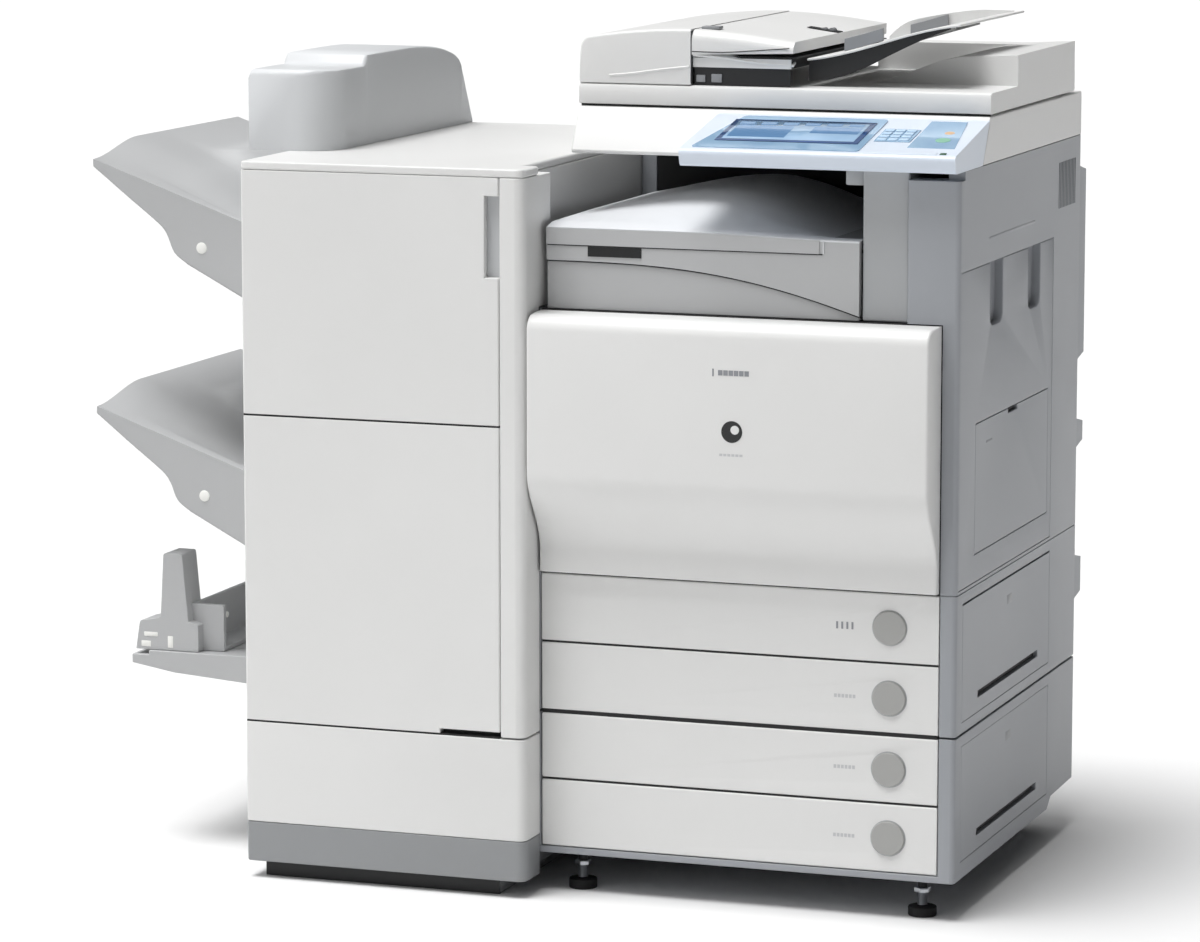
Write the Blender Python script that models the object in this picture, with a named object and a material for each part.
# Colour photocopier: a main unit on a two-drawer pedestal, a document feeder on top
# and a stapling and booklet finisher at the left.
# Metres, +Z up, front towards -Y, right towards +X. The origin is on the floor, under the
# centre of the whole machine's footprint.
# Inside this file a place is given from the main unit's own corner: x = 0 is its right face,
# y = 0 is the plane of the drawer fronts and z = 0 is the floor.

import math

import bmesh
import bpy
from mathutils import Matrix, Vector

# ---- gaps ----
CLEARANCE = 0.0003          # between pieces that touch
SEAM = 0.0024               # visible line between neighbouring covers

# ---- main unit, overall ----
MAIN_WIDTH = 0.565
BODY_DEPTH = 0.590          # drawer fronts to the back of the side covers
CASTER_HEIGHT = 0.050       # floor to the underside of the pedestal
SKIRT_HEIGHT = 0.0085       # pedestal rim below the lowest drawer
PEDESTAL_PITCH = 0.0882     # height taken by one pedestal drawer
CASSETTE_PITCH = 0.08865    # height taken by one drawer of the main body
FRONT_COVER_HEIGHT = 0.334
BAY_HEIGHT = 0.187          # delivery bay under the scanner
SCANNER_HEIGHT = 0.0575
PILLAR_WIDTH = 0.021        # narrow pillar right of the drawers
SIDE_STRIP = 0.021          # body left of the drawers, behind the finisher's pillar
COVER_THICKNESS = 0.0025    # wall of the moulded covers

# ---- drawers ----
DRAWER_FRONT = 0.018        # thickness of a drawer's front
DRAWER_BACK_GAP = 0.060     # paper tray to the frame's rear wall
CASSETTE_TRAY_ROOM = 0.02265  # height left over the paper trays of the main body
PEDESTAL_TRAY_ROOM = 0.0222  # and over those of the pedestal
DRAWER_WALL = 0.003
DRAWER_SIDE_GAP = 0.006     # paper tray to the frame on either side
BUTTON_RADIUS = 0.0215
BUTTON_INSET = 0.085        # button centre from the right face
BUTTON_THICKNESS = 0.010
BUTTON_PROUD = 0.0030
BUTTON_TRAVEL = 0.0035

# ---- frames and doors ----
FRAME_PLATE = 0.0065        # top and bottom plates of the drawer frames
FRAME_BACK = 0.030          # rear wall of the drawer frames
RISE_LENGTH = 0.135         # the pedestal's lower edge rises over this length at the back
SIDE_DOOR_THICKNESS = 0.0115
SIDE_DOOR_FRONT = 0.030
SIDE_DOOR_BACK_INSET = 0.138  # side doors' rear edge from the back of the body
SIDE_DOOR_MARGIN = 0.014    # frame left above and below a lower side door
GRIP_SLOT_HEIGHT = 0.0085
GRIP_SLOT_DEPTH = 0.0065
RIGHT_DOOR_FRONT = 0.0075
RIGHT_DOOR_TOP = 0.810
RIGHT_DOOR_THICKNESS = 0.0195
GRIP_TOP_WIDTH = 0.062      # the two finger recesses at the top of the right door
GRIP_TOP_HEIGHT = 0.080
GRIP_TOP_DEPTH = 0.012
GRIP_FRONT_INSET = 0.1635   # front recess's centre from the door's front edge
GRIP_REAR_INSET = 0.0975    # rear recess's centre from its rear edge
BYPASS_FRONT = 0.080
BYPASS_REAR_INSET = 0.020   # bypass tray's rear edge from the door's rear edge
BYPASS_BOTTOM = 0.452
BYPASS_TOP = 0.615
BYPASS_THICKNESS = 0.011

# ---- engine, front cover and toner ----
ENGINE_SETBACK = 0.004      # engine frame behind the drawer plane
ENGINE_BACK_GAP = 0.030     # engine frame to the back of the body
TONER_HEAD_ROOM = 0.014     # bay height over a bottle's diameter
TONER_BAY_DEPTH = 0.300
TONER_RADIUS = 0.043
TONER_LENGTH = 0.270
TONER_SIDE_GAP = 0.02035    # outer bottles to the sides of their bay
TONER_BAY_SIDE = 0.030      # frame left at either side of the bay
UNIT_BAY_DEPTH = 0.060      # recess in front of the process units
COVER_BULGE = 0.058         # front cover's face in front of the drawer plane
COVER_FOOT = 0.012          # the same at the cover's bottom edge
COVER_SHELL = 0.0035
COVER_TOP_ROUND = 0.018
COVER_SWEEP_LOW = 0.028     # the concave sweep starts this far above the cover's bottom
COVER_SWEEP_HIGH = 0.132    # and ends this far above it

# ---- delivery bay ----
BAY_WALL = 0.110            # block behind the bay
COLUMN_LEFT = 0.126         # delivery column, measured from the right face
UPPER_PILLAR_WIDTH = 0.067
COLUMN_SETBACK = 0.008
COLUMN_DEPTH = 0.150
PILLAR_TOP_GAP = 0.011      # upper pillar ends below the scanner
TRAY_LEFT_INSET = 0.0285    # delivery trays' left end from the left face
LOWER_TRAY_ARC_HIGH = 0.060 # top of the lower tray above the bay's floor, at the left
LOWER_TRAY_ARC_LOW = 0.0045 # the same at the right
TRAY_BAND_BOTTOM = 0.080    # front band of the upper tray above the bay's floor
TRAY_BAND_TOP = 0.1075
TRAY_SADDLE = 0.032         # rise of the upper tray towards the back
TRAY_BACK_GAP = 0.030       # delivery trays to the bay's back wall
TRAY_NOTCH_LEFT = 0.4825
TRAY_NOTCH_RIGHT = 0.410
TRAY_NOTCH_HEIGHT = 0.0135
TRAY_NOTCH_DEPTH = 0.020

# ---- scanner and control panel ----
SCANNER_WIDTH = 0.540
SCANNER_FRONT_LOW = 0.100   # y of the scanner's front at its bottom
SCANNER_FRONT_HIGH = 0.133  # and at its top
WELL_FLOOR = 0.010
WELL_SIDE = 0.045           # scanner well from the housing's ends
WELL_FRONT = 0.165
WELL_BACK_INSET = 0.065     # scanner well from the back of the body
GLASS_THICKNESS = 0.004
GLASS_LAP = 0.008
CARRIAGE_WIDTH = 0.050
CARRIAGE_HEIGHT = 0.020
CARRIAGE_TRAVEL = 0.380
PANEL_WIDTH = 0.352
PANEL_FRONT = 0.030         # nose of the panel in front of the drawer plane
PANEL_NOSE_HEIGHT = 0.021
PANEL_REAR_DROP = 0.004     # panel top below the scanner's top
SCREEN_LEFT = 0.317
SCREEN_WIDTH = 0.182
SCREEN_LENGTH = 0.088
SCREEN_THICKNESS = 0.0016
KEYPAD_WIDTH = 0.046
KEYPAD_LENGTH = 0.052
KEYPAD_RIGHT = 0.073        # keypad's right edge from the right face
START_RADIUS = 0.0095
STOP_RADIUS = 0.0065
KEY_COLUMN = 0.034          # start and stop keys' centre from the right face
KEY_THICKNESS = 0.0035
KEY_PROUD = 0.0010
KEY_TRAVEL = 0.0015

# ---- document feeder ----
FEEDER_SEAM = 0.003         # feeder above the scanner
FEEDER_BACK_INSET = 0.040   # feeder's back from the back of the body
FEEDER_LIP = 0.026          # thickness of the feeder's base
HINGE_BACK_INSET = 0.022    # its hinge from the back of the body
LEDGE_FRONT = 0.262         # raised rear part of the base
LEDGE_HEIGHT = 0.036        # above the lip
LEDGE_WAVE_LEFT = 0.205
LEDGE_WAVE_RIGHT = 0.060
HOOD_HEIGHT_LEFT = 0.058    # above the lip
HOOD_HEIGHT_PEAK = 0.071
HOOD_HEIGHT_RIGHT = 0.056
HOOD_PEAK = 0.400           # peak's distance from the right face
HOOD_STEP = 0.392           # where the hood's front wall ends
HOOD_RIGHT = 0.255
HOOD_WALL = 0.003
RAMP_BOTTOM = 0.023         # feed ramp above the lip
RAMP_TOP = 0.038
TRAY_TIP = 0.050            # document tray's tip from the right face
TRAY_TIP_HEIGHT = 0.082     # tip above the lip
DOC_TRAY_THICKNESS = 0.012
DOC_TRAY_FRONT = 0.170
DOC_TRAY_INSET = 0.070      # document tray's rear edge from the feeder's back
GUIDE_HEIGHT = 0.016
GUIDE_LENGTH = 0.075
GUIDE_THICKNESS = 0.006
GUIDE_TRAVEL = 0.070
FEED_ROLLER_RADIUS = 0.0085
FEED_ROLLER_LENGTH = 0.090
FEED_ROLLER_PLACE = 0.330   # from the right face

# ---- back, cable, feet ----
REAR_COVER_DEPTH = 0.012
REAR_BOX_DEPTH = 0.053      # the raised housings on the back
CABLE_RADIUS = 0.003
LINK_X = -0.030
SOCKET_RADIUS = 0.008
SOCKET_PROUD = 0.006        # both sockets stand this far out of their covers
LINK_TOP = 0.288            # the link lead leaves the main body here
LINK_BOTTOM = 0.196         # and enters the pedestal here
LINK_ROUTE = [(0.000, 0.000), (0.010, 0.001), (0.022, 0.002), (0.036, -0.004), (0.047, -0.018),
              (0.051, -0.036), (0.048, -0.055), (0.038, -0.072), (0.024, -0.086), (0.010, -0.091), (-0.000,
                      -0.092)]
FOOT_RADIUS = 0.018
FOOT_STEM_RADIUS = 0.006
FOOT_PAD = 0.012
FOOT_INSET_X = (0.050, 0.500)
FOOT_Y = 0.036
CASTER_X = (0.065, 0.500)
CASTER_INSET = 0.070        # caster's swivel from the back of the body
CASTER_TRAIL = 0.016
WHEEL_RADIUS = 0.018
WHEEL_WIDTH = 0.018
FORK_WALL = 0.004

# ---- finisher ----
FINISHER_GAP = 0.0015       # finisher beside the main unit
FINISHER_WIDTH = 0.3595
FINISHER_FRONT = 0.058      # face of its doors in front of the drawer plane
FINISHER_BACK = 0.600
FINISHER_TOP = 0.925
FINISHER_COVER = 0.011      # top cover's thickness
DOOR_THICKNESS = 0.019
UPPER_DOOR_BOTTOM = 0.602
LOWER_DOOR_BOTTOM = 0.206
BASE_TOP = 0.074
PLINTH_HEIGHT = 0.022
PLINTH_INSET = 0.019
PILLAR_LAP = 0.022          # pillar reaches over the main unit's left strip
FINISHER_PILLAR = 0.032
PILLAR_CORNER = 0.012
PILLAR_REACH = 0.040        # depth of the pillar's upper part behind the drawer plane
HANDLE_WIDTH = 0.020
HANDLE_BOTTOM = 0.789
HANDLE_TOP = 0.891
HANDLE_DEPTH = 0.013
PULL_WIDTH = 0.081
PULL_HEIGHT = 0.006
CABINET_WALL = 0.020
CABINET_BAY = 0.360         # depth of the bays behind the doors
HOOD_LEFT = 0.054           # tray hood's overhang at the left
HOOD_SPAN = 0.116
HOOD_FRONT = 0.095
HOOD_BACK = 0.598
HOOD_FRONT_HEIGHT = 0.104
HOOD_CORNER = 0.045
HOOD_STEP_BACK = 0.118      # the hood's top steps up this far behind its front
HOOD_STEP_RISE = 0.014
HOOD_CREST_BACK = 0.250     # and starts to curve down this far behind its front
HOOD_REAR_FLAT = 0.040      # it is down this far before its back
HOOD_FALL = 0.036

# ---- delivery trays of the finisher ----
STACK_REACH = 0.255         # tip of a stack tray from the cabinet
STACK_FRONT = 0.045
STACK_DEPTH = 0.470
STACK_TIP_TOP = 0.912
STACK_TIP_THICKNESS = 0.013
STACK_FALL = 0.090          # tray's top drops this far towards the cabinet
STACK_SPACING = 0.324
STACK_UNDERSIDE = [(0.385, 0.089, 0.020), (0.475, 0.134, 0.020), (0.815, 0.1735, 0), (1.0, 0.202, 0)]
STACK_RIB = 0.014           # raised rear half
STACK_STEP = 0.270          # y where the raised half starts
UPPER_STACK_TRAVEL = 0.140
LOWER_STACK_TRAVEL = 0.036
BOOKLET_REACH = 0.219
BOOKLET_FRONT = 0.070
BOOKLET_BACK = 0.400
BOOKLET_ROOT = 0.222        # underside at the cabinet
BOOKLET_DECK = 0.262
STOPPER_TOP = 0.392
STOPPER_TRAVEL = 0.060

# ---- places worked out from the sizes above ----
PEDESTAL_BOTTOM = CASTER_HEIGHT
PEDESTAL_TOP = PEDESTAL_BOTTOM + SKIRT_HEIGHT + 2 * PEDESTAL_PITCH
CASSETTES_TOP = PEDESTAL_TOP + 2 * CASSETTE_PITCH
BAY_FLOOR = CASSETTES_TOP + FRONT_COVER_HEIGHT
SCANNER_BOTTOM = BAY_FLOOR + BAY_HEIGHT
SCANNER_TOP = SCANNER_BOTTOM + SCANNER_HEIGHT
FEEDER_BOTTOM = SCANNER_TOP + FEEDER_SEAM
LIP_TOP = FEEDER_BOTTOM + FEEDER_LIP
DRAWERS_LEFT = -MAIN_WIDTH + SIDE_STRIP
DRAWERS_RIGHT = -PILLAR_WIDTH
FINISHER_RIGHT = -MAIN_WIDTH - FINISHER_GAP
FINISHER_LEFT = FINISHER_RIGHT - FINISHER_WIDTH
PILLAR_RIGHT = FINISHER_RIGHT + PILLAR_LAP
PILLAR_LEFT = PILLAR_RIGHT - FINISHER_PILLAR
STACK_TIP = FINISHER_LEFT - STACK_REACH
MACHINE_BACK = BODY_DEPTH + REAR_BOX_DEPTH
DRAWER_LENGTH = BODY_DEPTH - FRAME_BACK - DRAWER_BACK_GAP
SIDE_DOOR_REAR = BODY_DEPTH - SIDE_DOOR_BACK_INSET
GRIP_CENTRES = (RIGHT_DOOR_FRONT + GRIP_FRONT_INSET, SIDE_DOOR_REAR - GRIP_REAR_INSET)
BYPASS_REAR = SIDE_DOOR_REAR - BYPASS_REAR_INSET
ENGINE_DEPTH = BODY_DEPTH - ENGINE_BACK_GAP
TONER_BAY_HEIGHT = 2 * TONER_RADIUS + TONER_HEAD_ROOM
BAY_DEPTH = ENGINE_DEPTH - BAY_WALL
TRAY_DEPTH = BAY_DEPTH - TRAY_BACK_GAP
WELL_BACK = BODY_DEPTH - WELL_BACK_INSET
FEEDER_BACK = BODY_DEPTH - FEEDER_BACK_INSET
FEEDER_HINGE_BACK = BODY_DEPTH - HINGE_BACK_INSET
DOC_TRAY_BACK = FEEDER_BACK - DOC_TRAY_INSET
CASTER_Y = BODY_DEPTH - CASTER_INSET
CENTRE_X = STACK_TIP / 2
CENTRE_Y = (MACHINE_BACK - FINISHER_FRONT) / 2

# Base colour, roughness and metallic value of each finish.
FINISHES = {
    "white": ((0.74, 0.74, 0.73), 0.45, 0.0),
    "grey": ((0.40, 0.41, 0.42), 0.50, 0.0),
    "dark": ((0.02, 0.02, 0.022), 0.50, 0.0),
    "tray": ((0.36, 0.37, 0.37), 0.55, 0.0),
    "button": ((0.35, 0.35, 0.34), 0.50, 0.0),
    "panel": ((0.42, 0.56, 0.70), 0.25, 0.0),
    "screen": ((0.10, 0.18, 0.32), 0.10, 0.0),
    "glass": ((0.55, 0.62, 0.60), 0.05, 0.0),
    "rubber": ((0.03, 0.03, 0.03), 0.80, 0.0),
    "steel": ((0.50, 0.50, 0.50), 0.35, 1.0),
    "green": ((0.05, 0.35, 0.12), 0.40, 0.0),
    "amber": ((0.60, 0.20, 0.04), 0.40, 0.0),
    "yellow": ((0.70, 0.55, 0.05), 0.45, 0.0),
    "magenta": ((0.60, 0.05, 0.25), 0.45, 0.0),
    "cyan": ((0.03, 0.35, 0.60), 0.45, 0.0),
}


# ---- building tools ----

def clear_scene():
    for item in list(bpy.data.objects):
        bpy.data.objects.remove(item, do_unlink=True)


def add_object(name, bm, finish, pivot=(0, 0, 0)):
    """Makes an object from a bmesh given in the main unit's places, with its origin at pivot."""
    bmesh.ops.translate(bm, vec=-Vector(pivot), verts=bm.verts)
    bmesh.ops.recalc_face_normals(bm, faces=bm.faces)
    mesh = bpy.data.meshes.new(name)
    bm.to_mesh(mesh)
    bm.free()
    item = bpy.data.objects.new(name, mesh)
    bpy.context.scene.collection.objects.link(item)
    item.parent = MACHINE
    item.location = pivot
    if finish:
        colour, roughness, metallic = FINISHES[finish]
        material = bpy.data.materials.new(f"{name}_{finish}")
        material.use_nodes = True
        shader = material.node_tree.nodes["Principled BSDF"]
        shader.inputs["Base Color"].default_value = (*colour, 1)
        shader.inputs["Roughness"].default_value = roughness
        shader.inputs["Metallic"].default_value = metallic
        mesh.materials.append(material)
    return item


def box(x, y, z):
    """A block between three pairs of limits."""
    bm = bmesh.new()
    bmesh.ops.create_cube(bm, size=1)
    size = [limits[1] - limits[0] for limits in (x, y, z)]
    middle = [(limits[1] + limits[0]) / 2 for limits in (x, y, z)]
    bmesh.ops.scale(bm, vec=size, verts=bm.verts)
    bmesh.ops.translate(bm, vec=middle, verts=bm.verts)
    return bm


def prism(axis, outline, limits):
    """A flat outline drawn across an axis and extruded along it."""
    def place(u, v, w):
        return {"x": (w, u, v), "y": (u, w, v), "z": (u, v, w)}[axis]

    bm = bmesh.new()
    face = bm.faces.new([bm.verts.new(place(u, v, limits[0])) for u, v in outline])
    grown = bmesh.ops.extrude_face_region(bm, geom=[face])["geom"]
    moved = [part for part in grown if isinstance(part, bmesh.types.BMVert)]
    bmesh.ops.translate(bm, vec=place(0, 0, limits[1] - limits[0]), verts=moved)
    return bm


def loft(sections):
    """A solid through closed rings with the same number of points."""
    bm = bmesh.new()
    rings = [[bm.verts.new(point) for point in section] for section in sections]
    for ring in (rings[0], rings[-1]):
        bm.faces.new(ring)
    loops = []
    for ring in rings:
        ends = [(ring[i - 1], ring[i]) for i in range(len(ring))]
        loops.append([bm.edges.get(pair) or bm.edges.new(pair) for pair in ends])
    for first, second in zip(loops, loops[1:]):
        bmesh.ops.bridge_loops(bm, edges=first + second)
    return bm


def cylinder(axis, centre, radius, limits, sides=24):
    """A round bar along an axis; centre holds the two other coordinates in order."""
    bm = bmesh.new()
    bmesh.ops.create_cone(bm, cap_ends=True, segments=sides, radius1=radius, radius2=radius,
                          depth=limits[1] - limits[0])
    turn = {"x": Matrix.Rotation(math.pi / 2, 4, "Y"), "y": Matrix.Rotation(-math.pi / 2, 4, "X"),
            "z": Matrix.Identity(4)}[axis]
    bmesh.ops.transform(bm, matrix=turn, verts=bm.verts)
    middle = sum(limits) / 2
    u, v = centre
    place = {"x": (middle, u, v), "y": (u, middle, v), "z": (u, v, middle)}[axis]
    bmesh.ops.translate(bm, vec=place, verts=bm.verts)
    return bm


def rounded(corners, steps=4):
    """An outline whose corners, given as (u, v, radius), are turned into arcs."""
    outline = []
    for index, (u, v, radius) in enumerate(corners):
        here = Vector((u, v))
        if not radius:
            outline.append((u, v))
            continue
        before = (Vector(corners[index - 1][:2]) - here).normalized()
        after = (Vector(corners[(index + 1) % len(corners)][:2]) - here).normalized()
        half = before.angle(after) / 2
        centre = here + (before + after).normalized() * radius / math.sin(half)
        start = here + before * radius / math.tan(half) - centre
        end = here + after * radius / math.tan(half) - centre
        turn = -start.angle_signed(end)
        for step in range(steps + 1):
            spoke = Matrix.Rotation(turn * step / steps, 2) @ start
            outline.append(tuple(centre + spoke))
    return outline


def ease(start, end, share):
    """Goes smoothly from start to end as share goes from 0 to 1."""
    return start + (end - start) * (1 - math.cos(math.pi * share)) / 2


def combine(target, bm, operation, turn=None):
    """Cuts a shape from an object or adds it, with the shape kept as a hidden guide."""
    guide = add_object(f"guide_{target.name}_{len(target.modifiers)}", bm, None)
    if turn:
        guide.matrix_local = turn
    guide.hide_render = True
    guide.display_type = "WIRE"
    change = target.modifiers.new(operation.lower(), "BOOLEAN")
    change.operation = operation
    change.solver = "EXACT"
    change.object = guide


def cut(target, bm, turn=None):
    combine(target, bm, "DIFFERENCE", turn)


def add(target, bm, turn=None):
    combine(target, bm, "UNION", turn)


FAR = 0.05                  # how far a cutter reaches past the surface it opens


# ---- pedestal and main body ----

def drawer_frame(name, bottom, top, skirt):
    """Frame for two drawers: side walls, plates and back, with the pillar at its front right."""
    corner = 0.006
    outline = rounded([(-MAIN_WIDTH, 0, 0), (0, 0, corner), (0, BODY_DEPTH, 0.004),
                       (-MAIN_WIDTH, BODY_DEPTH, 0.004)])
    frame = add_object(name, prism("z", outline, (bottom, top)), "grey")
    inside = (DRAWERS_LEFT, DRAWERS_RIGHT)
    cut(frame, box(inside, (-FAR, BODY_DEPTH - FRAME_BACK),
                   (bottom + skirt + FRAME_PLATE, top - FRAME_PLATE)))
    cut(frame, box(inside, (-FAR, DRAWER_FRONT + CLEARANCE), (bottom + skirt, top + FAR)))
    cut(frame, box((-SIDE_DOOR_THICKNESS - CLEARANCE, FAR),
                   (SIDE_DOOR_FRONT - CLEARANCE, SIDE_DOOR_REAR + CLEARANCE),
                   (bottom + skirt + SIDE_DOOR_MARGIN - CLEARANCE,
                    top - SIDE_DOOR_MARGIN + CLEARANCE)))
    return frame


def pedestal():
    frame = drawer_frame("pedestal_frame", PEDESTAL_BOTTOM, PEDESTAL_TOP - SEAM, SKIRT_HEIGHT)
    start = BODY_DEPTH - RISE_LENGTH
    sweep = [(start, PEDESTAL_BOTTOM - FAR), (start, PEDESTAL_BOTTOM),
             (start + 0.020, PEDESTAL_BOTTOM + 0.014),
             (BODY_DEPTH + FAR, PEDESTAL_BOTTOM + 0.018), (BODY_DEPTH + FAR, PEDESTAL_BOTTOM - FAR)]
    cut(frame, prism("x", sweep, (-PILLAR_WIDTH + 0.004, FAR)))
    side_door("pedestal_door", PEDESTAL_BOTTOM + SKIRT_HEIGHT, PEDESTAL_TOP - SEAM)


def side_door(name, bottom, top):
    """Jam access door in the right wall, hinged at its rear edge, with a long grip slot."""
    low = bottom + SIDE_DOOR_MARGIN
    high = top - SIDE_DOOR_MARGIN
    door = add_object(name, box((-SIDE_DOOR_THICKNESS, 0), (SIDE_DOOR_FRONT, SIDE_DOOR_REAR), (low, high)),
                      "grey", pivot=(0, SIDE_DOOR_REAR, (low + high) / 2))
    slot = low + 0.018
    cut(door, box((-GRIP_SLOT_DEPTH, FAR), (SIDE_DOOR_FRONT + 0.074, SIDE_DOOR_REAR - 0.056),
                  (slot, slot + GRIP_SLOT_HEIGHT)))


def drawer(name, bottom, top, tray_height):
    """Paper drawer: moulded front with a pocket for its release button, and an open tray."""
    low = bottom + SEAM / 2
    high = top - SEAM / 2
    left = DRAWERS_LEFT + SEAM / 2
    right = DRAWERS_RIGHT - SEAM / 2
    middle = (low + high) / 2
    front = rounded([(0, low, 0.002), (DRAWER_FRONT, low, 0), (DRAWER_FRONT, high, 0), (0, high, 0.002)], 2)
    item = add_object(name, prism("x", front, (left, right)), "white",
                      pivot=(-MAIN_WIDTH / 2, 0, middle))
    floor = bottom + FRAME_PLATE + CLEARANCE
    tray_left = left + DRAWER_SIDE_GAP
    tray_right = right - DRAWER_SIDE_GAP
    add(item, box((tray_left, tray_right), (DRAWER_FRONT - DRAWER_WALL, DRAWER_LENGTH),
                  (floor, floor + tray_height)))
    cut(item, box((tray_left + DRAWER_WALL, tray_right - DRAWER_WALL),
                  (DRAWER_FRONT + DRAWER_WALL, DRAWER_LENGTH - DRAWER_WALL),
                  (floor + DRAWER_WALL, floor + tray_height + FAR)))
    pocket = BUTTON_THICKNESS - BUTTON_PROUD + BUTTON_TRAVEL + CLEARANCE
    cut(item, cylinder("y", (-BUTTON_INSET, middle), BUTTON_RADIUS + CLEARANCE, (-FAR, pocket), 32))
    button = cylinder("y", (-BUTTON_INSET, middle), BUTTON_RADIUS,
                      (-BUTTON_PROUD, BUTTON_THICKNESS - BUTTON_PROUD), 32)
    rim = [edge for edge in button.edges if all(vert.co.y < 0 for vert in edge.verts)]
    bmesh.ops.bevel(button, geom=rim, offset=0.001, segments=1, affect="EDGES", profile=0.5, material=-1)
    add_object(name.replace("drawer", "drawer_button"), button, "button",
               pivot=(-BUTTON_INSET, -BUTTON_PROUD, middle))


def drawers():
    """Four drawers, numbered from the top."""
    cassette = CASSETTE_PITCH - CASSETTE_TRAY_ROOM
    low = PEDESTAL_PITCH - PEDESTAL_TRAY_ROOM
    drawer("drawer_1", PEDESTAL_TOP + CASSETTE_PITCH, CASSETTES_TOP, cassette)
    drawer("drawer_2", PEDESTAL_TOP, PEDESTAL_TOP + CASSETTE_PITCH, cassette)
    drawer("drawer_3", PEDESTAL_TOP - PEDESTAL_PITCH, PEDESTAL_TOP - SEAM, low)
    drawer("drawer_4", PEDESTAL_TOP - 2 * PEDESTAL_PITCH, PEDESTAL_TOP - PEDESTAL_PITCH, low)


def engine():
    """Frame behind the front cover, with a bay for the toner bottles and one for the process units."""
    left = -MAIN_WIDTH + SIDE_STRIP
    right = -PILLAR_WIDTH - CLEARANCE
    bottom = CASSETTES_TOP + CLEARANCE
    top = BAY_FLOOR - CLEARANCE
    frame = add_object("engine_frame", box((left, right), (ENGINE_SETBACK, ENGINE_DEPTH), (bottom, top)),
                       "dark")
    bay_top = top - 0.012
    bay_floor = bay_top - TONER_BAY_HEIGHT
    bay_x = (left + TONER_BAY_SIDE, right - TONER_BAY_SIDE)
    cut(frame, box(bay_x, (-FAR, TONER_BAY_DEPTH), (bay_floor, bay_top)))
    cut(frame, box(bay_x, (-FAR, UNIT_BAY_DEPTH), (bottom + 0.020, bay_floor - 0.012)))
    spacing = (bay_x[1] - bay_x[0] - 2 * TONER_RADIUS - 2 * TONER_SIDE_GAP) / 3
    for number, colour in enumerate(("yellow", "magenta", "cyan", "dark")):
        x = bay_x[0] + TONER_SIDE_GAP + TONER_RADIUS + number * spacing
        centre = (x, bay_floor + TONER_RADIUS + CLEARANCE)
        bottle = add_object(f"toner_bottle_{number + 1}",
                            cylinder("y", centre, TONER_RADIUS, (0.022, 0.022 + TONER_LENGTH), 20), colour)
        add(bottle, cylinder("y", centre, TONER_RADIUS * 0.45, (0.010, 0.030), 16))
    cover_bottom = CASSETTES_TOP + CLEARANCE
    side = [(0.0005, cover_bottom), (BODY_DEPTH, cover_bottom), (BODY_DEPTH, SCANNER_BOTTOM - CLEARANCE),
            (BAY_DEPTH, SCANNER_BOTTOM - CLEARANCE), (BAY_DEPTH, BAY_FLOOR - CLEARANCE),
            (0.0005, BAY_FLOOR - CLEARANCE)]
    add_object("left_cover", prism("x", side, (-MAIN_WIDTH, left - CLEARANCE)), "grey")


def front_cover():
    """Large moulded cover with a bulging face and a concave sweep down to the drawers."""
    low = CASSETTES_TOP + SEAM
    high = BAY_FLOOR - SEAM / 2
    left = DRAWERS_LEFT + SEAM
    right = DRAWERS_RIGHT - SEAM / 2

    def profile(wall):
        sweep = [(ease(-COVER_FOOT, -COVER_BULGE, step / 6) + wall,
                  low + COVER_SWEEP_LOW + (COVER_SWEEP_HIGH - COVER_SWEEP_LOW) * step / 6)
                 for step in range(7)]
        crown = rounded([(-COVER_BULGE + wall, low + COVER_SWEEP_HIGH, 0),
                         (-COVER_BULGE + wall, high - wall, COVER_TOP_ROUND), (-0.0005, high - wall,
                                 0)])[1:]
        if wall:
            crown[-1] = (FAR, high - wall)
            return [(FAR, low + wall), (-COVER_FOOT + wall, low + wall)] + sweep + crown
        return [(-0.0005, low), (-COVER_FOOT, low)] + sweep + crown

    cover = add_object("front_cover", prism("x", profile(0), (left, right)), "white",
                       pivot=(-MAIN_WIDTH / 2, -COVER_FOOT, low))
    cut(cover, prism("x", profile(COVER_SHELL), (left + COVER_SHELL, right - COVER_SHELL)))


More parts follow.
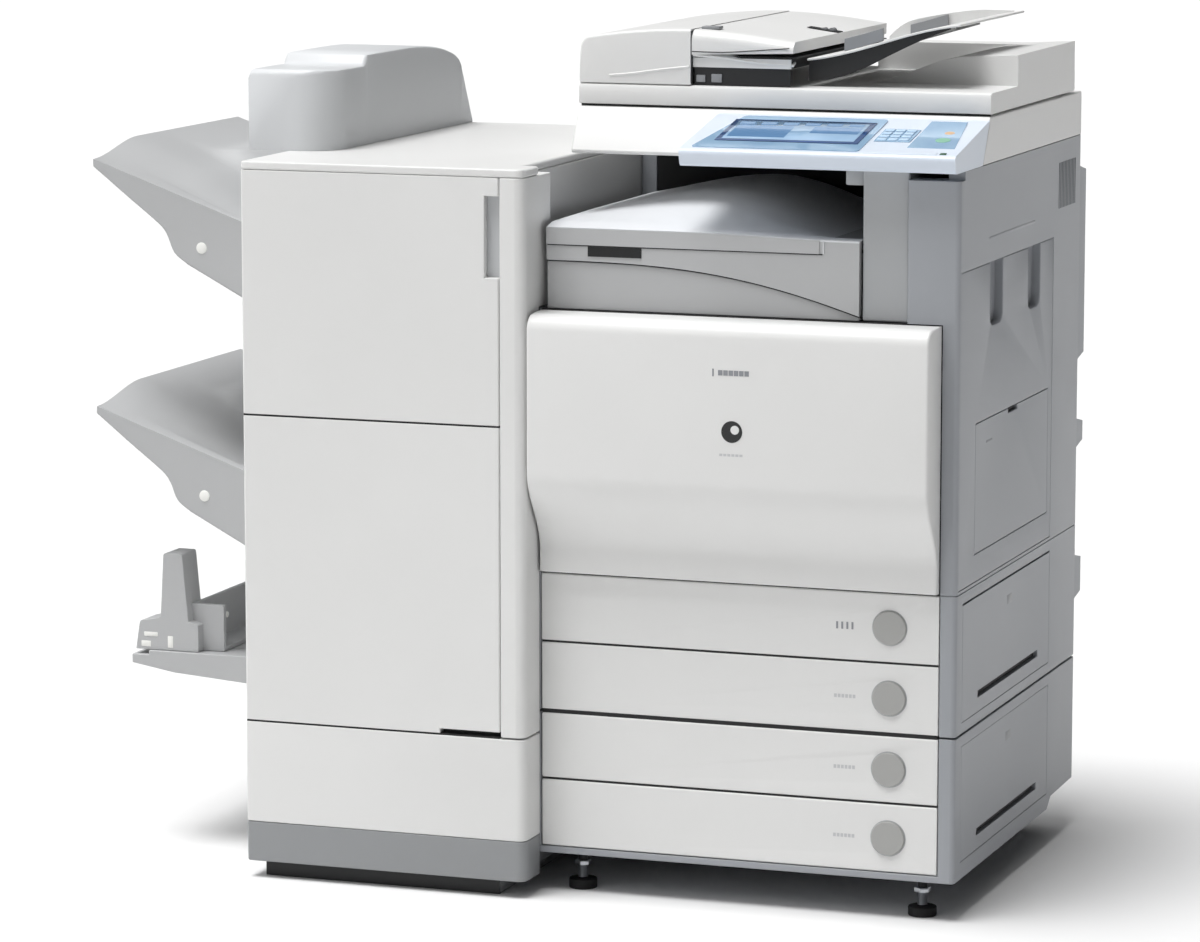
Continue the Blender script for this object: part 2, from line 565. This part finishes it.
def right_side():
    """Right cover with the upper pillar, the large jam door and the bypass tray in it."""
    bottom = CASSETTES_TOP + CLEARANCE
    top = SCANNER_BOTTOM - CLEARANCE
    outline = rounded([(-PILLAR_WIDTH, 0, 0), (0, 0, 0.006), (0, BODY_DEPTH, 0.004),
                       (-PILLAR_WIDTH, BODY_DEPTH, 0)])
    cover = add_object("right_cover", prism("z", outline, (bottom, top)), "grey")
    cut(cover, box((-PILLAR_WIDTH - FAR, FAR), (RIGHT_DOOR_FRONT - CLEARANCE, SIDE_DOOR_REAR + CLEARANCE),
                   (bottom + 0.004 - CLEARANCE, RIGHT_DOOR_TOP + CLEARANCE)))
    pillar_outline = rounded([(-UPPER_PILLAR_WIDTH, 0, 0.003), (-PILLAR_WIDTH + 0.004, 0, 0),
                              (-PILLAR_WIDTH + 0.004, RIGHT_DOOR_FRONT - CLEARANCE, 0),
                              (-PILLAR_WIDTH - CLEARANCE, RIGHT_DOOR_FRONT - CLEARANCE, 0),
                              (-PILLAR_WIDTH - CLEARANCE, PILLAR_REACH, 0),
                              (-UPPER_PILLAR_WIDTH, PILLAR_REACH, 0)], 2)
    add(cover, prism("z", pillar_outline, (BAY_FLOOR + CLEARANCE, SCANNER_BOTTOM - PILLAR_TOP_GAP)))
    cut(cover, box((-UPPER_PILLAR_WIDTH - FAR, FAR), (-FAR, 0.020),
                   (SCANNER_BOTTOM - PILLAR_TOP_GAP, top + FAR)))

    door_bottom = bottom + 0.004
    door = add_object("right_door", box((-RIGHT_DOOR_THICKNESS, 0), (RIGHT_DOOR_FRONT, SIDE_DOOR_REAR),
                                        (door_bottom, RIGHT_DOOR_TOP)), "grey",
                      pivot=(0, SIDE_DOOR_REAR, (door_bottom + RIGHT_DOOR_TOP) / 2))
    for centre in GRIP_CENTRES:
        half = GRIP_TOP_WIDTH / 2
        recess = rounded([(centre - half, RIGHT_DOOR_TOP + FAR, 0),
                          (centre - half, RIGHT_DOOR_TOP - GRIP_TOP_HEIGHT, 0.016),
                          (centre + half, RIGHT_DOOR_TOP - GRIP_TOP_HEIGHT, 0.016), (centre + half,
                                  RIGHT_DOOR_TOP + FAR, 0)])
        cut(door, prism("x", recess, (-GRIP_TOP_DEPTH, FAR)))
    cut(door, box((-BYPASS_THICKNESS - CLEARANCE, FAR), (BYPASS_FRONT - CLEARANCE, BYPASS_REAR + CLEARANCE),
                  (BYPASS_BOTTOM - CLEARANCE, BYPASS_TOP + CLEARANCE)))
    bypass = add_object("bypass_tray", box((-BYPASS_THICKNESS, 0), (BYPASS_FRONT, BYPASS_REAR),
                                           (BYPASS_BOTTOM, BYPASS_TOP)), "grey",
                        pivot=(0, (BYPASS_FRONT + BYPASS_REAR) / 2, BYPASS_BOTTOM))
    middle = (BYPASS_FRONT + BYPASS_REAR) / 2
    cut(bypass, box((-0.007, FAR), (middle - 0.022, middle + 0.022),
                    (BYPASS_TOP - 0.006, BYPASS_TOP + FAR)))
    side_door("cassette_door", PEDESTAL_TOP, CASSETTES_TOP - SEAM)


def rear_cover():
    """Stepped cover over the boards and the power supply, with the sockets of the link lead."""
    low = PEDESTAL_TOP + CLEARANCE
    high = SCANNER_BOTTOM - CLEARANCE
    base = BODY_DEPTH + CLEARANCE
    flat = BODY_DEPTH + REAR_COVER_DEPTH
    proud = BODY_DEPTH + REAR_BOX_DEPTH
    reach = high - low
    steps = [(0.10, 0.19), (0.395, 0.455), (0.565, 0.940)]
    outline = [(base, low), (flat, low)]
    for start, end in steps:
        z0 = low + reach * start
        z1 = low + reach * end
        outline += [(flat, z0), (proud, z0 + 0.008), (proud, z1 - 0.008), (flat, z1)]
    outline += [(flat, high), (base, high)]
    cover = add_object("rear_cover", prism("x", outline, (-MAIN_WIDTH + 0.006, -0.006)), "grey")
    add(cover, cylinder("y", (LINK_X, LINK_TOP), SOCKET_RADIUS, (base + 0.003, flat + SOCKET_PROUD), 16))
    add(bpy.data.objects["pedestal_frame"],
        cylinder("y", (LINK_X, LINK_BOTTOM), SOCKET_RADIUS,
                 (BODY_DEPTH - 0.004, BODY_DEPTH + SOCKET_PROUD), 16))


def link_cable(frame_back):
    """Short captive lead that joins the main body's board to the pedestal's."""
    start = BODY_DEPTH + REAR_COVER_DEPTH + SOCKET_PROUD + CLEARANCE
    curve = bpy.data.curves.new("link_cable", "CURVE")
    curve.dimensions = "3D"
    curve.bevel_depth = CABLE_RADIUS
    curve.bevel_resolution = 2
    curve.use_fill_caps = True
    spline = curve.splines.new("POLY")
    route = smooth_route([Vector((LINK_X, start + y, LINK_TOP + z)) for y, z in LINK_ROUTE], 3)
    route[-1].y = frame_back
    spline.points.add(len(route) - 1)
    for point, place in zip(spline.points, route):
        point.co = (*place, 1)
    lead = bpy.data.objects.new("link_cable", curve)
    bpy.context.scene.collection.objects.link(lead)
    lead.parent = MACHINE


def smooth_route(points, steps):
    """Points of a smooth curve through the route's own points."""
    route = []
    padded = [points[0] * 2 - points[1]] + points + [points[-1] * 2 - points[-2]]
    for a, b, c, d in zip(padded, padded[1:], padded[2:], padded[3:]):
        for step in range(steps):
            t = step / steps
            route.append(0.5 * (2 * b + (c - a) * t + (2 * a - 5 * b + 4 * c - d) * t ** 2
                                + (3 * b - a - 3 * c + d) * t ** 3))
    return route + [points[-1]]


def bay():
    """Delivery bay: black back wall, delivery column and the two paper trays."""
    floor = BAY_FLOOR + CLEARANCE
    top = SCANNER_BOTTOM - CLEARANCE
    right = -PILLAR_WIDTH - CLEARANCE
    wall = [(-MAIN_WIDTH + SIDE_STRIP, BAY_DEPTH), (-COLUMN_LEFT, BAY_DEPTH),
            (-COLUMN_LEFT, COLUMN_SETBACK + COLUMN_DEPTH + CLEARANCE),
            (right, COLUMN_SETBACK + COLUMN_DEPTH + CLEARANCE), (right, ENGINE_DEPTH),
            (-MAIN_WIDTH + SIDE_STRIP, ENGINE_DEPTH)]
    add_object("bay_wall", prism("z", wall, (floor, top)), "dark")
    add_object("delivery_column", box((-COLUMN_LEFT, -UPPER_PILLAR_WIDTH - CLEARANCE),
                                      (COLUMN_SETBACK, COLUMN_SETBACK + COLUMN_DEPTH), (floor,
                                              top)), "grey")
    left = -MAIN_WIDTH + TRAY_LEFT_INSET
    end = -COLUMN_LEFT - 0.003
    arc = [(left + (end - left) * step / 10,
            BAY_FLOOR + LOWER_TRAY_ARC_LOW + (LOWER_TRAY_ARC_HIGH - LOWER_TRAY_ARC_LOW)
            * math.cos(math.pi / 2 * (step / 10) ** 1.5)) for step in range(11)]
    lower = [(end, floor), (left, floor)] + arc
    add_object("output_tray_lower", prism("y", lower, (0.006, TRAY_DEPTH)), "tray")

    def section(y, rise):
        ring = [(x, y, z + CLEARANCE * 3) for x, z in arc]
        band = BAY_FLOOR + TRAY_BAND_TOP
        crown = [(end, band - 0.026), (end - 0.044, band - 0.014)]
        for step in range(1, 9):
            share = step / 8
            lift = rise * math.sin(math.pi * min(1, share * 1.15 + 0.05)) ** 1.5 if share < 0.82 else 0
            crown.append((ease(end - 0.044, left, share), band - 0.014 + 0.014 * min(1, share * 2) + lift))
        return ring + [(x, y, z) for x, z in crown]

    depths = [(0.003, 0), (0.020, 0.05), (0.100, 0.55), (0.200, 0.95), (0.320, 1.0), (TRAY_DEPTH, 0.8)]
    upper = add_object("output_tray_upper", loft([section(y, share * TRAY_SADDLE) for y, share in depths]),
                       "tray")
    notch_top = BAY_FLOOR + TRAY_BAND_BOTTOM
    cut(upper, box((-TRAY_NOTCH_LEFT, -TRAY_NOTCH_RIGHT), (-FAR, TRAY_NOTCH_DEPTH),
                   (notch_top - TRAY_NOTCH_HEIGHT, notch_top)))


def scanner():
    """Scanner housing with its glass and the carriage that travels under it."""
    bottom = SCANNER_BOTTOM
    profile = rounded([(SCANNER_FRONT_LOW, bottom, 0.003), (BODY_DEPTH, bottom, 0.003),
                       (BODY_DEPTH, SCANNER_TOP, 0.003),
                       (SCANNER_FRONT_HIGH, SCANNER_TOP, 0.004)], 2)
    housing = add_object("scanner_housing", prism("x", profile, (-SCANNER_WIDTH, 0)), "white")
    well_x = (-SCANNER_WIDTH + WELL_SIDE, -WELL_SIDE)
    glass_x = (well_x[0] - GLASS_LAP, well_x[1] + GLASS_LAP)
    glass_y = (WELL_FRONT - GLASS_LAP, WELL_BACK + GLASS_LAP)
    glass_z = SCANNER_TOP - GLASS_THICKNESS
    cut(housing, box(well_x, (WELL_FRONT, WELL_BACK), (bottom + WELL_FLOOR, SCANNER_TOP + FAR)))
    cut(housing, box([glass_x[0] - CLEARANCE, glass_x[1] + CLEARANCE],
                     [glass_y[0] - CLEARANCE, glass_y[1] + CLEARANCE],
                     (glass_z - CLEARANCE, SCANNER_TOP + FAR)))
    add_object("platen_glass", box(glass_x, glass_y, (glass_z, SCANNER_TOP)), "glass")
    park = well_x[0] + 0.010
    carriage_z = bottom + WELL_FLOOR + 0.004
    middle = (WELL_FRONT + WELL_BACK) / 2
    carriage = add_object("scan_carriage",
                          box((park, park + CARRIAGE_WIDTH), (WELL_FRONT + 0.002, WELL_BACK - 0.002),
                              (carriage_z, carriage_z + CARRIAGE_HEIGHT)), "dark",
                          pivot=(park + CARRIAGE_WIDTH / 2, middle, carriage_z))
    cut(carriage, box((park + 0.018, park + 0.028), (WELL_FRONT + 0.012, WELL_BACK - 0.012),
                      (carriage_z + 0.008, carriage_z + FAR)))


def control_panel():
    """Sloping operator panel with its screen, keypad and two round keys."""
    bottom = SCANNER_BOTTOM
    nose = bottom + PANEL_NOSE_HEIGHT
    rear_top = SCANNER_TOP - PANEL_REAR_DROP
    lean = (SCANNER_FRONT_HIGH - SCANNER_FRONT_LOW) / SCANNER_HEIGHT
    rear_y = SCANNER_FRONT_LOW + lean * (rear_top - bottom) - 0.0015
    profile = rounded([(-PANEL_FRONT + 0.006, bottom, 0.006), (SCANNER_FRONT_LOW - 0.0015, bottom, 0),
                       (rear_y, rear_top, 0), (-PANEL_FRONT, nose, 0.006)], 3)
    panel = add_object("control_panel", prism("x", profile, (-PANEL_WIDTH, 0)), "panel")
    run = rear_y + PANEL_FRONT
    tilt = math.atan2(rear_top - nose, run)
    slope = Matrix.Translation((0, -PANEL_FRONT, nose)) @ Matrix.Rotation(tilt, 4, "X")
    length = run / math.cos(tilt)
    middle = length * 0.52

    def on_slope(name, bm, finish, pivot=(0, 0, 0)):
        bmesh.ops.transform(bm, matrix=slope, verts=bm.verts)
        return add_object(name, bm, finish, pivot=slope @ Vector(pivot))

    on_slope("touch_screen", box((-SCREEN_LEFT, -SCREEN_LEFT + SCREEN_WIDTH),
                                 (middle - SCREEN_LENGTH / 2, middle + SCREEN_LENGTH / 2),
                                 (CLEARANCE, SCREEN_THICKNESS)), "screen")
    sunk = KEY_PROUD - KEY_THICKNESS
    well = sunk - KEY_TRAVEL - CLEARANCE
    pad_x = (-KEYPAD_RIGHT - KEYPAD_WIDTH, -KEYPAD_RIGHT)
    pad_y = (middle - KEYPAD_LENGTH / 2, middle + KEYPAD_LENGTH / 2)
    gap = CLEARANCE * 1.5
    cut(panel, box((pad_x[0] - gap, pad_x[1] + gap), (pad_y[0] - gap, pad_y[1] + gap), (well, FAR)), slope)
    on_slope("keypad", box(pad_x, pad_y, (sunk, KEY_PROUD)), "button", pivot=(sum(pad_x) / 2, middle, 0))
    for name, radius, place, colour in (("start_key", START_RADIUS, middle - 0.015, "green"),
                                        ("stop_key", STOP_RADIUS, middle + 0.016, "amber")):
        cut(panel, cylinder("z", (-KEY_COLUMN, place), radius + gap, (well, FAR)), slope)
        on_slope(name, cylinder("z", (-KEY_COLUMN, place), radius, (sunk, KEY_PROUD)), colour,
                 pivot=(-KEY_COLUMN, place, 0))


def feeder():
    """Document feeder: base, hood, tray, two sliding guides and the pick-up roller."""
    front = SCANNER_FRONT_HIGH
    lip = rounded([(front, FEEDER_BOTTOM, 0.003), (FEEDER_BACK, FEEDER_BOTTOM, 0.003),
                   (FEEDER_BACK, LIP_TOP, 0), (front, LIP_TOP, 0.006)], 2)
    base = add_object("feeder_base", prism("x", lip, (-SCANNER_WIDTH, 0)), "white",
                      pivot=(0, FEEDER_HINGE_BACK, SCANNER_TOP))
    under = LIP_TOP - 0.001
    wave = [(-LEDGE_WAVE_LEFT + (LEDGE_WAVE_LEFT - LEDGE_WAVE_RIGHT) * step / 8,
             ease(LIP_TOP, LIP_TOP + LEDGE_HEIGHT, step / 8)) for step in range(1, 9)]
    ledge = [(0, under), (-LEDGE_WAVE_LEFT, under)] + wave + [(0, LIP_TOP + LEDGE_HEIGHT + 0.003)]
    add(base, prism("y", ledge, (LEDGE_FRONT, FEEDER_BACK - 0.001)))
    rear_wall = FEEDER_BACK - 0.052
    add(base, box((-HOOD_RIGHT + 0.002, -0.002), (rear_wall, FEEDER_BACK - 0.002),
                  (under, LIP_TOP + LEDGE_HEIGHT)))
    inner = HOOD_WALL + 0.003
    ramp_y = (front + 0.002 + inner, FEEDER_BACK - 0.001 - inner)
    mechanism = (-SCANNER_WIDTH + inner, -HOOD_STEP - inner)
    add(base, box(mechanism, ramp_y, (under, LIP_TOP + RAMP_TOP - 0.004)))
    add(base, box((mechanism[1] - 0.010, -HOOD_RIGHT - inner), ramp_y,
                  (LIP_TOP + RAMP_BOTTOM, LIP_TOP + RAMP_TOP - 0.003)))
    middle = (DOC_TRAY_FRONT + DOC_TRAY_BACK) / 2
    roller_y = (middle - FEED_ROLLER_LENGTH / 2, middle + FEED_ROLLER_LENGTH / 2)
    roller_z = LIP_TOP + RAMP_TOP + 0.001
    gap = 0.003
    cut(base, cylinder("y", (-FEED_ROLLER_PLACE, roller_z), FEED_ROLLER_RADIUS + gap,
                       (roller_y[0] - gap, roller_y[1] + gap), 16))
    add_object("feed_roller", cylinder("y", (-FEED_ROLLER_PLACE, roller_z), FEED_ROLLER_RADIUS, roller_y,
                                       20),
               "rubber", pivot=(-FEED_ROLLER_PLACE, middle, roller_z))

    floor = LIP_TOP + CLEARANCE * 3

    def hood_profile(wall):
        top = [(-SCANNER_WIDTH + wall, LIP_TOP + HOOD_HEIGHT_LEFT - wall, 0.014),
               (-HOOD_PEAK, LIP_TOP + HOOD_HEIGHT_PEAK - wall, 0.20),
               (-HOOD_RIGHT - wall, LIP_TOP + HOOD_HEIGHT_RIGHT - wall, 0.002)]
        if wall:
            return rounded([(-SCANNER_WIDTH + wall, LIP_TOP - FAR, 0)] + top
                           + [(-HOOD_RIGHT - wall, LIP_TOP - FAR, 0)])
        brow = LIP_TOP + RAMP_TOP
        return rounded([(-SCANNER_WIDTH, floor, 0)] + top
                       + [(-HOOD_RIGHT, brow + 0.006, 0.002), (-HOOD_STEP + 0.002, brow, 0),
                          (-HOOD_STEP, floor, 0)])

    hood_y = (front + 0.002, FEEDER_BACK - 0.001)
    hood = add_object("feeder_hood", prism("y", hood_profile(0), hood_y), "white",
                      pivot=(-SCANNER_WIDTH, (front + FEEDER_BACK) / 2, floor))
    cut(hood, prism("y", hood_profile(HOOD_WALL), (hood_y[0] + HOOD_WALL, hood_y[1] - HOOD_WALL)))

    hinge_x = -HOOD_RIGHT + 0.003
    tip_z = LIP_TOP + TRAY_TIP_HEIGHT
    root_z = LIP_TOP + RAMP_BOTTOM
    lower = []
    upper = []
    for step in range(9):
        share = step / 8
        x = hinge_x + (-TRAY_TIP - hinge_x) * share
        lift = ease(0, 1, share) * 0.55 + share * 0.45
        lower.append((x, root_z + (tip_z - 0.004 - root_z) * lift))
        upper.append((x, root_z + DOC_TRAY_THICKNESS + (tip_z - root_z - DOC_TRAY_THICKNESS) * lift))
    tray = add_object("document_tray", prism("y", lower + upper[::-1], (DOC_TRAY_FRONT, DOC_TRAY_BACK)),
                      "white",
                      pivot=(hinge_x, middle, root_z))
    guide_x = (upper[2][0], upper[2][0] + GUIDE_LENGTH)
    foot = [(x, z + CLEARANCE * 2) for x, z in upper[2:]]
    foot = [point for point in foot if point[0] < guide_x[1]]
    head = [(x, z + GUIDE_HEIGHT) for x, z in foot]
    for name, y0 in (("paper_guide_front", DOC_TRAY_FRONT + 0.003),
                     ("paper_guide_rear", DOC_TRAY_BACK - 0.003 - GUIDE_THICKNESS)):
        add_object(name, prism("y", foot + head[::-1], (y0, y0 + GUIDE_THICKNESS)), "button",
                   pivot=(foot[0][0], y0, foot[0][1]))
    return tray


def feet():
    """Two levelling feet at the front and two swivel casters at the back."""
    for name, inset in zip(("right", "left"), FOOT_INSET_X):
        foot = add_object(f"levelling_foot_{name}",
                          cylinder("z", (-inset, FOOT_Y), FOOT_RADIUS, (0, FOOT_PAD), 24), "rubber")
        add(foot, cylinder("z", (-inset, FOOT_Y), FOOT_STEM_RADIUS,
                           (FOOT_PAD - 0.002, CASTER_HEIGHT - CLEARANCE), 12))
    for name, inset in zip(("right", "left"), CASTER_X):
        x = -inset
        half = WHEEL_WIDTH / 2
        axle_y = CASTER_Y + CASTER_TRAIL
        cheek = half + FORK_WALL
        top = CASTER_HEIGHT - CLEARANCE
        side = rounded([(CASTER_Y - 0.014, top - 0.005, 0), (CASTER_Y + 0.016, top - 0.005, 0),
                        (axle_y + 0.008, WHEEL_RADIUS - 0.006, 0.005),
                        (axle_y - 0.008, WHEEL_RADIUS - 0.006, 0.005)], 2)
        fork = add_object(f"caster_fork_{name}", prism("x", side, (x - cheek, x + cheek)), "dark",
                          pivot=(x, CASTER_Y, top))
        add(fork, cylinder("z", (x, CASTER_Y), 0.011, (top - 0.008, top), 16))
        cut(fork, cylinder("x", (axle_y, WHEEL_RADIUS), WHEEL_RADIUS + 0.0018,
                           (x - half - 0.001, x + half + 0.001), 24))
        wheel = cylinder("x", (axle_y, WHEEL_RADIUS), WHEEL_RADIUS, (x - half, x + half), 24)
        add_object(f"caster_wheel_{name}", wheel, "rubber", pivot=(x, axle_y, WHEEL_RADIUS))


def round_front_corner(bm, x, y, radius, segments):
    """Rounds the upright edge where a prism's front meets its right side."""
    edge = [e for e in bm.edges if all(abs(v.co.x - x) + abs(v.co.y - y) < 1e-5 for v in e.verts)]
    bmesh.ops.bevel(bm, geom=edge, offset=radius, segments=segments, affect="EDGES", profile=0.5,
                    material=-1)


def finisher():
    """Finisher cabinet with its doors, base, top cover and tray hood."""
    front = -FINISHER_FRONT
    step_y = -0.002
    plan = rounded([(FINISHER_LEFT, front, 0.004), (PILLAR_RIGHT, front, PILLAR_CORNER),
                    (PILLAR_RIGHT, step_y, 0),
                    (FINISHER_RIGHT, step_y, 0), (FINISHER_RIGHT, FINISHER_BACK, 0.004),
                    (FINISHER_LEFT, FINISHER_BACK, 0.004)])
    base = add_object("finisher_base", prism("z", plan, (PLINTH_HEIGHT, BASE_TOP)), "grey")
    plinth = box((FINISHER_LEFT + PLINTH_INSET, FINISHER_RIGHT - PLINTH_INSET),
                 (front + PLINTH_INSET, FINISHER_BACK - PLINTH_INSET), (0, PLINTH_HEIGHT + 0.002))
    add(base, plinth)
    top_low = FINISHER_TOP - FINISHER_COVER
    add_object("finisher_top", prism("z", plan, (top_low + CLEARANCE, FINISHER_TOP)), "white")
    door_back = front + DOOR_THICKNESS + CLEARANCE
    cabinet = add_object("finisher_cabinet",
                         box((FINISHER_LEFT, FINISHER_RIGHT), (door_back, FINISHER_BACK),
                             (BASE_TOP + CLEARANCE, top_low)), "white")
    bay_x = (FINISHER_LEFT + CABINET_WALL, FINISHER_RIGHT - CABINET_WALL - 0.012)
    bays = ((UPPER_DOOR_BOTTOM, top_low), (LOWER_DOOR_BOTTOM, UPPER_DOOR_BOTTOM))
    for low, high in bays:
        cut(cabinet, box(bay_x, (-FAR * 2, CABINET_BAY), (low + CABINET_WALL, high - CABINET_WALL)))
    pillar_low = LOWER_DOOR_BOTTOM + SEAM / 2
    side = [(front, pillar_low), (step_y, pillar_low), (step_y, BAY_FLOOR + 0.002),
            (PILLAR_REACH, BAY_FLOOR + 0.002),
            (PILLAR_REACH, top_low), (front, top_low)]
    pillar = prism("x", side, (PILLAR_LEFT, PILLAR_RIGHT))
    round_front_corner(pillar, PILLAR_RIGHT, front, PILLAR_CORNER, 4)
    pillar = add_object("finisher_pillar", pillar, "white")
    cut(pillar, box((PILLAR_LEFT - FAR, FINISHER_RIGHT + CLEARANCE), (door_back - CLEARANCE, FAR * 2),
                    (pillar_low - FAR, top_low + FAR)))
    door_right = PILLAR_LEFT - SEAM / 2
    panel_outline = rounded([(FINISHER_LEFT, front, 0.003), (PILLAR_RIGHT, front, PILLAR_CORNER),
                             (PILLAR_RIGHT, step_y, 0), (FINISHER_RIGHT + CLEARANCE, step_y, 0),
                             (FINISHER_RIGHT + CLEARANCE, door_back - CLEARANCE, 0),
                             (FINISHER_LEFT, door_back - CLEARANCE, 0)])
    add_object("finisher_lower_panel",
               prism("z", panel_outline, (BASE_TOP + CLEARANCE, LOWER_DOOR_BOTTOM - SEAM / 2)), "white")
    limits = (("finisher_upper_door", UPPER_DOOR_BOTTOM, top_low),
              ("finisher_lower_door", LOWER_DOOR_BOTTOM, UPPER_DOOR_BOTTOM))
    for name, low, high in limits:
        z = (low + SEAM / 2, high - (SEAM / 2 if high < top_low else 0))
        outline = rounded([(FINISHER_LEFT, front, 0.003), (door_right, front, 0.002),
                           (door_right, door_back - CLEARANCE, 0),
                           (FINISHER_LEFT, door_back - CLEARANCE, 0)], 2)
        door = add_object(name, prism("z", outline, z), "white", pivot=(FINISHER_LEFT, front, sum(z) / 2))
        if high == top_low:
            cut(door, box((door_right - HANDLE_WIDTH, door_right + FAR),
                          (front - FAR, front + HANDLE_DEPTH), (HANDLE_BOTTOM, HANDLE_TOP)))
        else:
            cut(door, box((door_right - PULL_WIDTH, door_right + FAR), (front - FAR, front + HANDLE_DEPTH),
                          (z[0] - FAR, z[0] + PULL_HEIGHT)))

    hood_x = (FINISHER_LEFT - HOOD_LEFT, FINISHER_LEFT - HOOD_LEFT + HOOD_SPAN)
    low = FINISHER_TOP + CLEARANCE
    high = low + HOOD_FRONT_HEIGHT
    raised = HOOD_FRONT + HOOD_STEP_BACK
    crest = HOOD_FRONT + HOOD_CREST_BACK
    fall = HOOD_BACK - HOOD_REAR_FLAT - crest
    outline = [(HOOD_FRONT, low), (HOOD_FRONT, high), (raised, high), (raised, high + HOOD_STEP_RISE)]
    outline += [(crest + fall * math.sin(math.pi / 2 * step / 6),
                 high + HOOD_STEP_RISE - HOOD_FALL * (1 - math.cos(math.pi / 2 * step / 6)))
                for step in range(7)]
    outline += [(HOOD_BACK, low)]
    hood = prism("x", outline, hood_x)
    round_front_corner(hood, hood_x[1], HOOD_FRONT, HOOD_CORNER, 6)
    hood = add_object("finisher_hood", hood, "grey")
    cut(hood, box((hood_x[0] - FAR, FINISHER_LEFT + 0.020), (HOOD_FRONT + 0.004, HOOD_BACK - 0.030),
                  (low - FAR, high - 0.030)))


def stack_tray(name, below):
    """Sloping delivery tray that rides up and down the cabinet's left side."""
    root = FINISHER_LEFT - 0.002
    tip = STACK_TIP
    top = STACK_TIP_TOP - below
    reach = root - tip
    underside = [(tip, top - STACK_TIP_THICKNESS, 0.003)]
    underside += [(tip + reach * share, top - drop, radius) for share, drop, radius in STACK_UNDERSIDE]
    outline = rounded(underside + [(root, top - STACK_FALL, 0), (tip, top, 0.004)], 3)
    item = add_object(name, prism("y", outline, (STACK_FRONT, STACK_FRONT + STACK_DEPTH)), "tray",
                      pivot=(root, STACK_FRONT + STACK_DEPTH / 2, top - STACK_FALL))
    bed = [(tip + reach * 0.22, top - STACK_FALL * 0.22 - 0.002), (root, top - STACK_FALL - 0.002),
           (root, top - STACK_FALL + STACK_RIB), (tip + reach * 0.42, top - STACK_FALL * 0.42 + STACK_RIB),
           (tip + reach * 0.24, top - STACK_FALL * 0.24 + 0.002)]
    add(item, prism("y", bed, (STACK_STEP, STACK_FRONT + STACK_DEPTH - 0.002)))
    hollow = [(tip + reach * 0.60, top - FAR * 6), (root + FAR, top - FAR * 6),
              (root + FAR, top - STACK_FALL - 0.030),
              (tip + reach * 0.60, top - 0.092)]
    cut(item, prism("y", hollow, (STACK_FRONT + 0.006, STACK_FRONT + STACK_DEPTH - 0.006)))


def booklet_tray():
    """Low tray for folded booklets, with a sliding stopper."""
    root = FINISHER_LEFT - CLEARANCE
    tip = FINISHER_LEFT - BOOKLET_REACH
    outline = [(root, BOOKLET_ROOT), (root, BOOKLET_DECK), (tip + 0.024, BOOKLET_DECK),
               (tip + 0.024, BOOKLET_DECK - 0.006), (tip, BOOKLET_DECK - 0.006),
               (tip, BOOKLET_ROOT + 0.022), (tip + 0.060, BOOKLET_ROOT + 0.012)]
    add_object("booklet_tray", prism("y", outline, (BOOKLET_FRONT, BOOKLET_BACK)), "tray")
    deck = BOOKLET_DECK + CLEARANCE
    x = tip + 0.004
    foot = rounded([(x, deck, 0), (x + 0.006, deck + 0.038, 0.004), (x + 0.036, deck + 0.044, 0.003),
                    (x + 0.041, STOPPER_TOP, 0.003), (x + 0.068, STOPPER_TOP, 0.003),
                    (x + 0.076, deck + 0.040, 0), (x + 0.090, deck + 0.036, 0.003), (x + 0.090, deck, 0)], 2)
    mid = (BOOKLET_FRONT + BOOKLET_BACK) / 2
    stopper = add_object("booklet_stopper",
                         prism("y", foot, (BOOKLET_FRONT + 0.004, BOOKLET_FRONT + 0.050)), "tray",
                         pivot=(x, mid, deck))
    add(stopper, box((x + 0.072, x + 0.120), (BOOKLET_FRONT + 0.020, BOOKLET_FRONT + 0.240),
                     (deck, deck + 0.062)))
    cut(stopper, box((x + 0.080, x + 0.120 + FAR), (BOOKLET_FRONT + 0.028, BOOKLET_FRONT + 0.232),
                     (deck + 0.006, deck + FAR * 2)))


clear_scene()
MACHINE = bpy.data.objects.new("machine", None)
bpy.context.scene.collection.objects.link(MACHINE)
MACHINE.location = (-CENTRE_X, -CENTRE_Y, 0)

pedestal()
drawer_frame("cassette_frame", PEDESTAL_TOP, CASSETTES_TOP - CLEARANCE, 0)
drawers()
engine()
front_cover()
right_side()
rear_cover()
link_cable(BODY_DEPTH + SOCKET_PROUD + CLEARANCE)
bay()
scanner()
control_panel()
feeder()
feet()
finisher()
stack_tray("stack_tray_upper", 0)
stack_tray("stack_tray_lower", STACK_SPACING)
booklet_tray()
